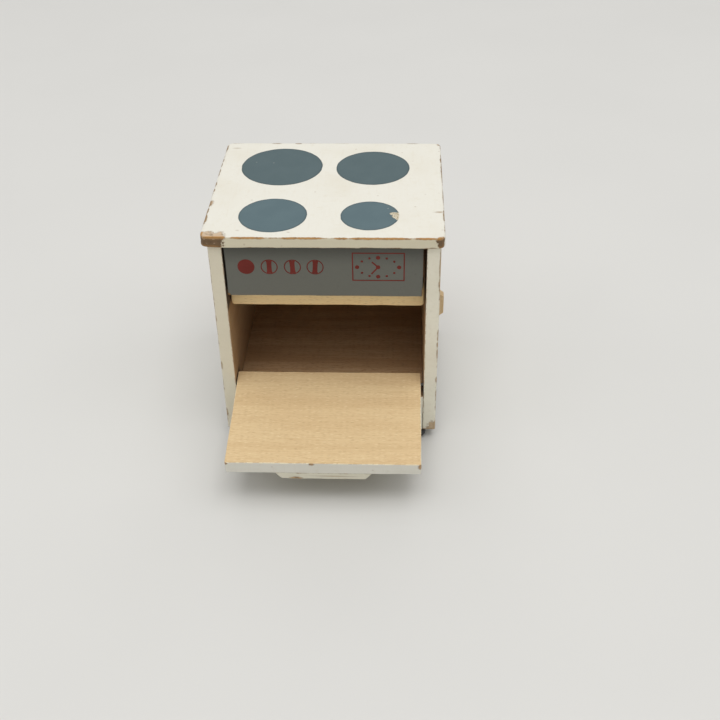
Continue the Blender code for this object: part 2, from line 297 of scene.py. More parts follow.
@dataclass
class Layer:
    """A look on its way to the shader: colour, roughness, and height in millimetres."""

    colour: Feed
    roughness: Number
    height: Number

    def under(self, top: "Layer", mask: Value, shading: Shading) -> "Layer":
        """Puts another layer over this one.

        Args:
            top: the other layer.
            mask: 1 where the other layer shows.
            shading: the material they are in.

        Returns:
            The two as one layer.
        """
        return Layer(
            shading.mix(self.colour, top.colour, mask),
            shading.blend(self.roughness, top.roughness, mask),
            shading.blend(self.height, top.height, mask),
        )


# ================================================================== finishes
class Grain(Enum):
    """Which way a board's fibres run."""

    ALONG_X = 0
    ALONG_Y = 1
    ALONG_Z = 2

    def stretch(self, along: float, across: float) -> Triple:
        """A scale for patterns that are drawn out along the fibres.

        Args:
            along: changes to a millimetre along the fibres.
            across: changes to a millimetre across them.

        Returns:
            The scale along each axis.
        """
        scale = [across] * 3
        scale[self.value] = along
        return tuple(scale)


class Face(Enum):
    """A side of a board, as its axis and whether it is the high one."""

    LEFT = (0, False)
    RIGHT = (0, True)
    FRONT = (1, False)
    BACK = (1, True)
    UNDER = (2, False)
    TOP = (2, True)


@dataclass(frozen=True)
class Beech:
    """Bare beech: pale fibres, fine streaks, and the short dark flecks of its rays."""

    grain: Grain = Grain.ALONG_X
    pale: Colour = (0.745, 0.555, 0.308)
    warm: Colour = (0.60, 0.395, 0.195)
    fleck: Colour = (0.40, 0.23, 0.10)
    glint: Colour = (0.92, 0.76, 0.48)
    glints: float = 0.4
    flecks: float = 0.30
    contrast: float = 1.0
    shift: float = 0.0

    def layer(self, shading: Shading, point: Feed) -> Layer:
        """Builds the wood.

        Args:
            shading: the material it goes into.
            point: the surface point in millimetres.

        Returns:
            The layer.
        """
        stretch = self.grain.stretch
        growth = shading.noise(point, stretch(0.012, 0.16), 2.0, self.shift)
        streak = shading.noise(point, stretch(0.06, 1.5), 3.0, self.shift + 4.0)
        fibre = shading.noise(point, stretch(0.5, 7.0), 2.0, self.shift + 9.0)
        ray = shading.noise(point, stretch(0.42, 3.4), 2.0, self.shift + 17.0)
        distance, chance = shading.cells(point, stretch(0.50, 2.6), self.shift)
        fleck = distance.rises(0.44, 0.18) * chance.rises(0.25, 0.8)
        light, pick = shading.cells(point, stretch(0.42, 2.3), self.shift + 31.0)
        glint = light.rises(0.42, 0.14) * pick.rises(0.35, 0.85)
        colour = shading.mix(self.pale, self.warm, growth.rises(0.38, 0.66) * (0.34 * self.contrast))
        colour = shading.mix(colour, self.warm, streak.rises(0.42, 0.72) * (0.28 * self.contrast))
        colour = shading.mix(colour, self.warm, ray.rises(0.50, 0.68) * (0.40 * self.contrast))
        colour = shading.mix(colour, self.fleck, fibre.rises(0.5, 0.85) * (0.12 * self.contrast))
        colour = shading.mix(colour, self.fleck, fleck * (self.flecks * self.contrast))
        colour = shading.mix(colour, self.glint, glint * (self.glints * self.contrast))
        height = fibre * 0.012 + streak * 0.01 - fleck * 0.012
        return Layer(colour, 0.58 + streak * 0.14, height)


@dataclass(frozen=True)
class Chip:
    """A place where the paint is gone: its middle, from the board's low corner, and its half sizes."""

    at: Triple
    reach: Triple


@dataclass(frozen=True)
class Paint:
    """Old paint on a board, worn through along the arrises and chipped. Its front faces can take a colour of
    their own, which is painted light and shade.
    """

    colour: Colour = (0.80, 0.775, 0.685)
    # Painted light: a colour of their own for front faces, standing in for the light and shade they get.
    front_painted_light: Optional[Colour] = None
    stain: Colour = (0.66, 0.60, 0.46)
    rim: Colour = (0.36, 0.27, 0.18)
    bare_flat: Colour = (0.57, 0.43, 0.29)
    bare_front: Colour = (0.165, 0.098, 0.045)
    bare_arris: Colour = (0.43, 0.215, 0.055)
    bare_edge: Colour = (0.31, 0.205, 0.105)
    bare_dark: Colour = (0.09, 0.057, 0.03)
    spill: Colour = (0.95, 0.86, 0.62)
    # The near-black colour of the painted shade on bare inner faces.
    grime_and_shade: Colour = (0.045, 0.030, 0.020)
    roughness: float = 0.38
    specular: float = 0.42
    arris_wear: float = 0.12
    front_wear: float = 0.0
    # Painted shade: how much darker the paint gets towards the board's top, under an overhang.
    shade_top: float = 0.0
    shade_reach: float = 9.0
    film: float = 0.10
    bare_faces: tuple[Face, ...] = ()
    # Heights between which a bare inner face gets no painted shade.
    unshaded: Optional[Place] = None
    chips: tuple[Chip, ...] = ()
    shift: float = 0.0
    raggedness: float = 0.55
    film_edge: float = 0.04
    raw_edge: Place = (0.20, 0.12)

    def layer(self, shading: Shading, point: Feed, low: Vector, high: Vector, wood: Beech) -> Layer:
        """Builds the paint over its board.

        Args:
            shading: the material it goes into.
            point: the surface point in millimetres.
            low: the board's low corner in millimetres.
            high: its high corner.
            wood: the board's wood, seen on bare faces.

        Returns:
            The layer.
        """
        ragged = shading.noise(point, 1.1, 5.0, self.shift) - 0.5
        distance = self._arris_distance(shading, point, low, high)
        front = (shading.parts(point)[1] - low.y).rises(0.5, 0.12)
        bare = self._wear(shading, point, low, high) - distance + ragged * self.raggedness
        if self.bare_faces:
            bare = bare - self._face_depth(shading, point, low, high).rises(1.0, 0.5) * 0.35
        for chip in self.chips:
            bare = bare.at_least(self._chip_field(shading, point, low, chip, ragged))

        paint = self._coat(shading, point, high, front)
        paint.colour = shading.mix(paint.colour, self.rim, bare.rises(-0.30, -0.02) * 0.5)
        worn = self._worn(shading, point, distance, low, high)
        result = paint.under(worn, bare.rises(-self.film_edge, self.film_edge), shading)
        if self.bare_faces:
            depth = self._face_depth(shading, point, low, high) + ragged * 0.10
            raw = wood.layer(shading, point)
            # Painted shade on the bare face: near-black under the hob, and low down near the front by the
            # door.
            if self.unshaded:
                raw.colour = shading.mix(raw.colour, self.grime_and_shade, self._painted_shade(shading, point, low))
            result = result.under(raw, depth.rises(*self.raw_edge), shading)
            fleck = shading.noise(point, 0.55, 4.0, self.shift + 60.0).rises(0.48, 0.56)
            line = depth.rises(0.02, 0.10) * depth.rises(0.50, 0.30) * fleck
            result.colour = shading.mix(result.colour, self.spill, line * 0.8)
        return result

    def _painted_shade(self, shading: Shading, point: Feed, low: Vector) -> Value:
        """Where painted shade darkens a bare face: above its unshaded heights, under the hob, and near the
        front below them, in the gap by the door.

        Args:
            shading: the material it goes into.
            point: the surface point in millimetres.
            low: the board's low corner.

        Returns:
            The mask.
        """
        _, across, up = shading.parts(point)
        bottom, top = self.unshaded
        low_down = up.rises(bottom + 2.0, bottom - 1.0) * (across - low.y).rises(12.0, 7.0)
        return low_down.at_least(up.rises(top - 2.0, top + 1.0)) * 0.92

    def _coat(self, shading: Shading, point: Feed, high: Vector, front: Value) -> Layer:
        """The paint itself: cloudy, brushed, specked with dirt, with painted light in its own colour on the
        front face, and painted shade darkening it under an overhang.

        Args:
            shading: the material it goes into.
            point: the surface point in millimetres.
            high: the board's high corner.
            front: 1 on the board's front face.

        Returns:
            The layer.
        """
        tone = shading.noise(point, 0.045, 3.0, self.shift + 7.0)
        brush = shading.noise(point, (0.9, 0.12, 0.9), 2.0, self.shift + 3.0)
        mottle = shading.noise(point, 0.55, 4.0, self.shift + 15.0)
        speck, pick = shading.cells(point, 0.22, self.shift + 2.0)
        dirt = speck.rises(0.12, 0.05) * pick.rises(0.6, 0.8)
        colour = self.colour
        # Painted light: the front face takes its own colour for the light and shade it gets.
        if self.front_painted_light:
            colour = shading.mix(colour, self.front_painted_light, front)
        colour = shading.mix(colour, self.stain, tone.rises(0.45, 0.8) * 0.35)
        colour = shading.mix(colour, self.stain, brush.rises(0.5, 0.8) * 0.16)
        colour = shading.mix(colour, self.stain, mottle.rises(0.52, 0.78) * 0.22)
        colour = shading.mix(colour, self.rim, dirt * 0.32)
        # Painted shade from the overhang above: the colour darkens towards the board's top.
        if self.shade_top:
            below = high.z - shading.parts(point)[2]
            colour = shading.mix(colour, BLACK, below.rises(self.shade_reach, 0.0) * self.shade_top)
        height = brush * 0.02 + tone * 0.05 + mottle * 0.015 + self.film
        return Layer(colour, self.roughness + tone * 0.12, height)

    def _worn(self, shading: Shading, point: Feed, distance: Value, low: Vector, high: Vector) -> Layer:
        """Bare old wood: pale on the flat, orange along the front arris, dirty in front.

        Args:
            shading: the material it goes into.
            point: the surface point in millimetres.
            distance: how far the point is from an arris.
            low: the board's low corner.
            high: its high corner.

        Returns:
            The layer.
        """
        _, across, up = shading.parts(point)
        front = (across - low.y).rises(3.2, 2.2) * (high.z - up).rises(0.5, 1.1)
        near = (across - low.y).rises(7.0, 4.0)
        grime_and_shade = shading.noise(point, (0.45, 0.7, 0.9), 5.0, self.shift + 11.0)
        line = shading.mix(self.bare_edge, self.bare_arris, near)
        colour = shading.mix(self.bare_flat, self.bare_front, front)
        colour = shading.mix(colour, self.bare_flat, grime_and_shade.rises(0.40, 0.26) * 0.45)
        colour = shading.mix(colour, line, distance.rises(1.2, 0.6) * (1.0 - front * 0.55) * 0.95)
        colour = shading.mix(colour, self.bare_dark, grime_and_shade.rises(0.48, 0.72) * 0.55)
        return Layer(colour, 0.62, grime_and_shade * 0.06)

    @staticmethod
    def _arris_distance(shading: Shading, point: Feed, low: Vector, high: Vector) -> Value:
        """How far a point on the surface is from the nearest arris, in millimetres.

        Args:
            shading: the material it goes into.
            point: the surface point.
            low: the board's low corner.
            high: its high corner.

        Returns:
            The distance.
        """
        gaps = []
        for part, start, end in zip(shading.parts(point), low, high):
            gaps.append((end - start) / 2 - abs(part - (start + end) / 2))
        first, second, third = gaps
        nearer, further = first.at_most(second), first.at_least(second)
        return nearer.at_least(further.at_most(third))

    def _wear(self, shading: Shading, point: Feed, low: Vector, high: Vector) -> Value:
        """How wide the wear along the arrises is, in millimetres.

        Args:
            shading: the material it goes into.
            point: the surface point.
            low: the board's low corner.
            high: its high corner.

        Returns:
            The width, below 0 where there is none.
        """
        patchy = shading.noise(point, 0.16, 3.0, self.shift + 20.0)
        width = patchy.rises(0.35, 0.72) * (self.arris_wear * 2) - 0.15
        if self.front_wear:
            _, across, up = shading.parts(point)
            front_top = (across - low.y).rises(1.6, 0.4) * (high.z - up).rises(2.2, 1.2)
            line = patchy.rises(0.30, 0.60) * self.front_wear + 0.16
            width = width + (line - width) * front_top
        return width

    @staticmethod
    def _chip_field(shading: Shading, point: Feed, low: Vector, chip: Chip, ragged: Value) -> Value:
        """How far inside a chip a point is, in millimetres.

        Args:
            shading: the material it goes into.
            point: the surface point.
            low: the board's low corner.
            chip: the chip.
            ragged: noise about 0 that breaks up the chip's outline.

        Returns:
            The distance, below 0 outside.
        """
        middle = tuple(a + b for a, b in zip(low, chip.at))
        offset = shading.vector("SUBTRACT", point, middle)
        away = shading.length(shading.vector("DIVIDE", offset, chip.reach))
        return (1.0 - away + ragged * 0.9) * min(chip.reach)

    def _face_depth(self, shading: Shading, point: Feed, low: Vector, high: Vector) -> Value:
        """How deep a point is below the nearest face that was never painted, in millimetres.

        Args:
            shading: the material it goes into.
            point: the surface point.
            low: the board's low corner.
            high: its high corner.

        Returns:
            The depth.
        """
        parts = shading.parts(point)
        depths = []
        for face in self.bare_faces:
            axis, is_high = face.value
            depths.append(high[axis] - parts[axis] if is_high else parts[axis] - low[axis])
        nearest = depths[0]
        for depth in depths[1:]:
            nearest = nearest.at_most(depth)
        return nearest


@dataclass(frozen=True)
class Print:
    """A thin screen-printed film, slightly uneven, with scuffs down to the paint below."""

    colour: Colour
    pale: Colour
    below: Colour = (0.80, 0.775, 0.685)
    chipped: Colour = (0.66, 0.61, 0.47)
    chip_dirt: Colour = (0.34, 0.26, 0.15)
    rim: Colour = (0.03, 0.05, 0.05)
    radius: float = 0.0
    roughness: float = 0.42
    scuffs: float = 0.3
    chips: tuple[Chip, ...] = ()
    shift: float = 0.0

    def layer(self, shading: Shading, point: Feed, low: Vector) -> Layer:
        """Builds the film.

        Args:
            shading: the material it goes into.
            point: the surface point in millimetres.
            low: the film's low corner, which its chips are measured from.

        Returns:
            The layer.
        """
        tone = shading.noise(point, 0.12, 3.0, self.shift)
        grit = shading.noise(point, 2.2, 3.0, self.shift + 5.0)
        ragged = shading.noise(point, 0.9, 4.0, self.shift + 2.0) - 0.5
        speck, pick = shading.cells(point, 0.3, self.shift + 8.0)
        colour = shading.mix(self.colour, self.pale, tone.rises(0.35, 0.7) * 0.6)
        colour = shading.mix(colour, self.pale, grit.rises(0.55, 0.8) * 0.35)
        scuff = speck.rises(0.10, 0.04) * pick.rises(0.8, 0.88) * self.scuffs
        colour = shading.mix(colour, self.below, scuff)
        if self.radius:
            middle = tuple(low + Vector((self.radius, self.radius, 0.0)))
            away = shading.length(shading.vector("SUBTRACT", point, middle))
            colour = shading.mix(colour, self.rim, away.rises(self.radius - 0.75, self.radius - 0.15) * 0.45)
        film = Layer(colour, self.roughness + grit * 0.1, tone * 0.02 + grit * 0.01)
        for chip in self.chips:
            middle = tuple(a + b for a, b in zip(low, chip.at))
            offset = shading.vector("SUBTRACT", point, middle)
            away = shading.length(shading.vector("DIVIDE", offset, chip.reach))
            inside = 1.0 - away + ragged * 1.1
            speckled = shading.mix(self.chipped, self.chip_dirt, grit.rises(0.44, 0.60))
            film = film.under(Layer(speckled, 0.6, 0.0), inside.rises(-0.05, 0.05), shading)
        return film


# ================================================================== meshes
def show(name: str, mesh: bpy.types.Mesh, material: bpy.types.Material) -> bpy.types.Object:
    """Puts a mesh in the scene, shaded smooth with its flat faces kept flat.

    Args:
        name: the piece's name.
        mesh: its mesh.
        material: its finish.

    Returns:
        The piece.
    """
    mesh.materials.append(material)
    mesh.shade_smooth()
    item = bpy.data.objects.new(name, mesh)
    bpy.context.scene.collection.objects.link(item)
    weights = item.modifiers.new("flat_faces", "WEIGHTED_NORMAL")
    weights.weight = FLAT_FACE_WEIGHT
    weights.keep_sharp = True
    return item


def settle(item: bpy.types.Object, body: str, slot: str, *nodes: str) -> None:
    """Makes a finished piece ride on its body and stand for its frame nodes.

    Args:
        item: the piece.
        body: the body it rides on.
        slot: the record's material slot; not used.
        nodes: the frame nodes it stands for.
    """
    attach(item, body)
    if nodes:
        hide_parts(*nodes)
    log.info("%s: %d faces, on %s", item.name, len(item.data.polygons), body)


@dataclass
class Board:
    """A board between two corners, in millimetres, with softened and slightly uneven arrises.

    Its thin axis is the one that its face looks along, and corner is the radius of its outline seen along
    that axis.
    """

    low: Vector
    high: Vector
    thin: int = 2
    arris: float = 0.45
    corner: float = 0.5
    uneven: float = 0.35
    step: float = 2.4
    seed: float = 0.0
    dents: tuple[Chip, ...] = ()
    reshape: Optional[Callable[[np.ndarray], np.ndarray]] = field(default=None, repr=False)
    dent_depth: float = 0.35
    wander_length: float = 7.0
    arris_range: Place = (0.35, 2.2)

    def _lines(self, axis: int) -> np.ndarray:
        """Where the mesh is cut along one axis: closely at the arrises, evenly between them.

        Args:
            axis: 0, 1 or 2.

        Returns:
            The places, from low to high.
        """
        low, high = self.low[axis], self.high[axis]
        edge = max(self.arris, self.corner if axis != self.thin else 0.0) * 1.15
        edge = min(edge, (high - low) * 0.45)
        near = [edge * share for share in ARRIS_CUTS]
        count = max(1, round((high - low - 2 * edge) / self.step))
        middle = np.linspace(low + edge, high - edge, count + 1)[1:-1]
        return np.array([low + n for n in near] + list(middle) + [high - n for n in reversed(near)])

    def _soften(self, points: np.ndarray) -> np.ndarray:
        """Rounds the box: first its outline, then the arrises around its two faces.

        Args:
            points: points on the sharp box.

        Returns:
            The points, moved.
        """
        low, high = np.array(self.low), np.array(self.high)
        centre, half = (low + high) / 2, (high - low) / 2
        plan = [axis for axis in range(3) if axis != self.thin]
        local = points - centre
        sign = np.where(local < 0, -1.0, 1.0)
        size = np.abs(local)
        offset = Vector((self.seed,) * 3)
        wander = np.array([noise.noise(Vector(p) / self.wander_length + offset) for p in points])
        radius = self.arris * np.clip(1 + self.uneven * 2 * wander, *self.arris_range)

        over = size[:, plan] - (half[plan] - self.corner)
        both = (over > 0).all(axis=1)
        shrink = np.ones(len(points))
        shrink[both] = over[both].max(axis=1) / np.hypot(*over[both].T)
        over = np.where(both[:, None], over * shrink[:, None], over)
        reach = np.hypot(*np.maximum(over, 0).T)
        outward = np.where(both[:, None], over / np.maximum(reach, 1e-9)[:, None], 0.0)
        widest = over.argmax(axis=1)
        outward[~both, widest[~both]] = 1.0
        edge = np.where(both, reach, over.max(axis=1)) - self.corner

        u = edge + radius
        v = size[:, self.thin] - (half[self.thin] - radius)
        rim = (u > 0) & (v > 0)
        scale = np.ones(len(points))
        scale[rim] = np.maximum(u[rim], v[rim]) / np.hypot(u[rim], v[rim])
        moved = np.where(rim, u * scale - u, 0.0)
        lifted = np.where(rim, v * scale - v, 0.0)
        size[:, plan] = over + (half[plan] - self.corner) + outward * moved[:, None]
        size[:, self.thin] += lifted
        return centre + sign * size

    def _dent(self, points: np.ndarray) -> np.ndarray:
        """Presses the dents in, towards the middle of the board.

        Args:
            points: points on the board.

        Returns:
            The points, moved.
        """
        centre = (np.array(self.low) + np.array(self.high)) / 2
        for dent in self.dents:
            offset = (points - (np.array(self.low) + np.array(dent.at))) / np.array(dent.reach)
            depth = np.exp(-(offset**2).sum(axis=1) * 1.6)[:, None] * self.dent_depth
            inward = centre - points
            inward /= np.maximum(np.abs(inward).max(axis=1), 1e-6)[:, None]
            inward[np.abs(inward) < 0.9] *= 0.25
            points = points + inward * depth
        return points

    def mesh(self, name: str) -> bpy.types.Mesh:
        """Builds the board's mesh in metres.

        Args:
            name: the mesh's name.

        Returns:
            A closed mesh of quads.
        """
        lines = [self._lines(axis) for axis in range(3)]
        counts = [len(line) for line in lines]
        index: dict[tuple[int, int, int], int] = {}
        points: list[Triple] = []
        faces: list[tuple[int, ...]] = []

        def corner(key: tuple[int, int, int]) -> int:
            """The vertex at a crossing of three lines.

            Args:
                key: the lines' numbers along the three axes.

            Returns:
                The vertex's number.
            """
            if key not in index:
                index[key] = len(points)
                points.append(tuple(lines[axis][key[axis]] for axis in range(3)))
            return index[key]

        for axis in range(3):
            a, b = [other for other in range(3) if other != axis]
            for end in (0, counts[axis] - 1):
                for i in range(counts[a] - 1):
                    for j in range(counts[b] - 1):
                        ring = []
                        for di, dj in ((0, 0), (1, 0), (1, 1), (0, 1)):
                            key = [0, 0, 0]
                            key[axis], key[a], key[b] = end, i + di, j + dj
                            ring.append(corner(tuple(key)))
                        outward = (end > 0) != (axis == 1)
                        faces.append(tuple(ring if outward else reversed(ring)))
        shaped = self._dent(self._soften(np.array(points, float)))
        if self.reshape:
            shaped = self.reshape(shaped)
        made = bpy.data.meshes.new(name)
        made.from_pydata((shaped * MM).tolist(), [], faces)
        made.update()
        return made


def turned(name: str, profile: Sequence[Place], steps: int) -> bpy.types.Mesh:
    """A solid turned about Z.

    Args:
        name: the mesh's name.
        profile: (radius, height) in millimetres from the bottom up, starting and ending on the axis.
        steps: sides of the turning.

    Returns:
        A closed mesh.
    """
    data = bmesh.new()
    rings = []
    turns = [2 * math.pi * i / steps for i in range(steps)]
    for radius, height in profile[1:-1]:
        ring = [(radius * math.cos(turn) * MM, radius * math.sin(turn) * MM, height * MM) for turn in turns]
        rings.append([data.verts.new(point) for point in ring])
    bottom = data.verts.new((0, 0, profile[0][1] * MM))
    top = data.verts.new((0, 0, profile[-1][1] * MM))
    for i in range(steps):
        j = (i + 1) % steps
        data.faces.new((bottom, rings[0][j], rings[0][i]))
        data.faces.new((top, rings[-1][i], rings[-1][j]))
        for lower, upper in zip(rings, rings[1:]):
            data.faces.new((lower[i], lower[j], upper[j], upper[i]))
    made = bpy.data.meshes.new(name)
    data.to_mesh(made)
    data.free()
    return made


class Film:
    """Thin printed shapes on a plane, gathered into one mesh. Shapes are drawn in millimetres."""

    def __init__(self, thickness: float) -> None:
        """Starts an empty film of a thickness in millimetres."""
        self.thickness = thickness
        self.data = bmesh.new()

    def strip(self, outer: Sequence[Place], inner: Sequence[Place]) -> None:
        """A closed band between two outlines.

        Args:
            outer: the outer outline.
            inner: the inner one, with as many points.
        """
        rings = []
        for outline, height in ((outer, 0.0), (outer, self.thickness), (inner, self.thickness), (inner, 0.0)):
            rings.append([self.data.verts.new((x * MM, y * MM, height * MM)) for x, y in outline])
        count = len(outer)
        for ring, following in zip(rings, rings[1:] + rings[:1]):
            for i in range(count):
                j = (i + 1) % count
                self.data.faces.new((ring[i], ring[j], following[j], following[i]))

    def patch(self, outline: Sequence[Place], share: float = 1.0) -> None:
        """A filled outline.

        Args:
            outline: its points, counter-clockwise.
            share: its height as a share of the film's thickness.
        """
        low = [self.data.verts.new((x * MM, y * MM, 0)) for x, y in outline]
        high = [self.data.verts.new((x * MM, y * MM, self.thickness * share * MM)) for x, y in outline]
        self.data.faces.new(list(reversed(low)))
        self.data.faces.new(high)
        for i in range(len(outline)):
            j = (i + 1) % len(outline)
            self.data.faces.new((low[i], low[j], high[j], high[i]))

    def mesh(self, name: str) -> bpy.types.Mesh:
        """Closes the film.

        Args:
            name: the mesh's name.

        Returns:
            The gathered mesh.
        """
        bmesh.ops.recalc_face_normals(self.data, faces=self.data.faces)
        made = bpy.data.meshes.new(name)
        self.data.to_mesh(made)
        self.data.free()
        return made


def wobbly_circle(
    middle: Place, radius: float, steps: int, uneven: float = 0.0, seed: float = 0.0
) -> list[Place]:
    """Points round a circle whose edge wanders by uneven millimetres.

    Args:
        middle: the circle's middle.
        radius: its radius.
        steps: how many points.
        uneven: how far the edge wanders.
        seed: which wandering.

    Returns:
        The points, counter-clockwise.
    """
    points = []
    for i in range(steps):
        angle = 2 * math.pi * i / steps
        wander = noise.noise(Vector((math.cos(angle) * 6, math.sin(angle) * 6, seed))) * uneven
        reach = radius + wander
        points.append((middle[0] + reach * math.cos(angle), middle[1] + reach * math.sin(angle)))
    return points


# ================================================================== the cabinet
def corners(node: str) -> tuple[Vector, Vector]:
    """A frame node's corners in millimetres."""
    low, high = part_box(node)
    return low / MM, high / MM


def fit(name: str, board: Board, material: bpy.types.Material, slot: str, node: str) -> None:
    """Shows a board of the cabinet and settles it in its node's place."""
    settle(show(name, board.mesh(name), material), "cabinet", slot, node)


def painted(name: str, low: Vector, high: Vector, paint: Paint, wood: Beech) -> bpy.types.Material:
    """A painted board's material.

    Args:
        name: the material's name.
        low: the board's low corner in millimetres.
        high: its high corner.
        paint: its paint.
        wood: its wood, seen on bare faces.

    Returns:
        The material.
    """
    shading = Shading(name)
    layer = paint.layer(shading, shading.place(), low, high, wood)
    return shading.finish(layer, specular=paint.specular)


def bare(name: str, wood: Beech, specular: float = 0.3) -> bpy.types.Material:
    """A bare wooden piece's material."""
    shading = Shading(name)
    return shading.finish(wood.layer(shading, shading.place()), specular=specular)


@dataclass
class Hob:
    """The hob board with its four printed plates.

    A plate is its middle, from the board's low corner, and its radius. A chip in the front right plate is
    its distance in from the right, its distance back from the middle, and its two half sizes.
    """

    film: float = 0.05
    plate_steps: int = 160
    plate_edge: float = 0.10
    inks: tuple[tuple[Colour, Colour], ...] = (
        ((0.064, 0.104, 0.112), (0.076, 0.118, 0.126)),
        ((0.077, 0.128, 0.144), (0.091, 0.146, 0.162)),
    )
    plates: dict[str, tuple[float, float, float]] = field(
        default_factory=lambda: {
            "plate_rear_left": (23.75, 54.3, 15.56),
            "plate_rear_right": (58.7, 53.4, 13.98),
            "plate_front_left": (24.0, 16.0, 12.2),
            "plate_front_right": (58.55, 15.9, 10.4),
        }
    )
    chips: tuple[Chip, ...] = (
        Chip((2.4, -0.4, 3.6), (6.0, 4.4, 2.2)),
        Chip((1.2, 0.5, 1.6), (6.9, 1.6, 3.4)),
        Chip((6.6, 0.6, 3.7), (2.3, 3.6, 0.8)),
        Chip((83.9, 0.4, 3.1), (2.2, 1.3, 1.4)),
        Chip((84.9, 0.2, 1.5), (2.4, 1.0, 1.7)),
        Chip((0.1, 13.0, 3.7), (0.9, 3.6, 0.8)),
        Chip((0.1, 19.0, 3.7), (0.6, 2.2, 0.8)),
        Chip((0.2, 24.6, 3.7), (1.4, 2.4, 0.8)),
        Chip((0.0, 34.7, 3.7), (0.6, 1.6, 0.8)),
        Chip((0.0, 39.5, 3.7), (0.65, 1.8, 0.8)),
        Chip((0.0, 50.2, 3.7), (0.55, 2.0, 0.7)),
        Chip((0.0, 59.6, 3.7), (0.6, 1.6, 0.7)),
        Chip((0.3, 70.5, 3.8), (0.4, 2.6, 0.7)),
        Chip((3.4, 75.2, 3.8), (3.0, 0.5, 0.6)),
        Chip((19.8, 75.3, 3.8), (2.2, 0.9, 0.7)),
        Chip((25.0, 75.4, 3.8), (1.0, 0.5, 0.6)),
        Chip((28.4, 75.2, 3.6), (1.7, 1.0, 1.1)),
        Chip((32.2, 75.4, 3.8), (3.6, 0.6, 0.6)),
        Chip((73.8, 75.4, 3.8), (2.6, 0.9, 0.6)),
        Chip((84.2, 73.9, 3.7), (0.6, 1.0, 0.8)),
        Chip((85.0, 60.1, 3.7), (0.6, 2.2, 0.9)),
        Chip((85.0, 48.0, 3.6), (0.35, 6.0, 0.7)),
        Chip((85.0, 30.0, 3.6), (0.3, 5.0, 0.6)),
        Chip((83.2, 18.7, 3.9), (1.5, 0.5, 0.3)),
        Chip((4.2, 70.3, 3.9), (1.2, 0.35, 0.2)),
        Chip((12.7, 5.1, 3.9), (0.45, 0.22, 0.2)),
        Chip((30.6, 3.9, 3.9), (0.4, 0.25, 0.2)),
    )
    plate_chips: tuple[tuple[float, float, float, float], ...] = (
        (1.2, 0.3, 1.35, 2.3),
        (0.5, -2.0, 0.9, 1.1),
        (2.5, 1.4, 0.8, 1.0),
    )

    def build(self) -> None:
        """Makes the board, lowered by the film's thickness, and the plates on it."""
        low, high = corners("hob_top")
        low.z = corners("left_side")[1].z
        high.z -= self.film
        board = Board(low, high, 2, 0.55, 2.6, 0.4, 2.0, 3.0, self.chips[:4])
        # The second colour is painted light: the front face's own darker, warmer colour for the light and
        # shade it gets.
        paint = Paint(
            (0.762, 0.738, 0.652), (0.725, 0.665, 0.495),
            arris_wear=0.30, front_wear=0.36, chips=self.chips, shift=1.0,
        )
        fit("hob_board", board, painted("hob_paint", low, high, paint, Beech()), "cream_paint", "hob_top")
        for number, (name, (x, y, radius)) in enumerate(self.plates.items()):
            self._plate(name, Vector((low.x + x, low.y + y, high.z)), radius, number)

    def _plate(self, name: str, middle: Vector, radius: float, number: int) -> None:
        """One printed plate.

        Args:
            name: the piece's name.
            middle: its middle on the board, in millimetres.
            radius: its radius.
            number: its number, from the rear left.
        """
        film = Film(self.film * 0.9)
        film.patch(wobbly_circle((0, 0), radius, self.plate_steps, self.plate_edge, number * 3.1))
        chips = ()
        if name == "plate_front_right":
            chips = tuple(
                Chip((2 * radius - right, radius + up, 0), (across, along, 1))
                for right, up, across, along in self.plate_chips
            )
        ink, pale = self.inks[number // 2]
        look = Print(ink, pale, radius=radius, roughness=0.40, chips=chips, shift=number * 5.0)
        shading = Shading(name)
        material = shading.finish(look.layer(shading, shading.place(), Vector((-radius, -radius, 0))), 0.35)
        item = show(name, film.mesh(name), material)
        item.location = middle * MM
        settle(item, "cabinet", "plate_print")


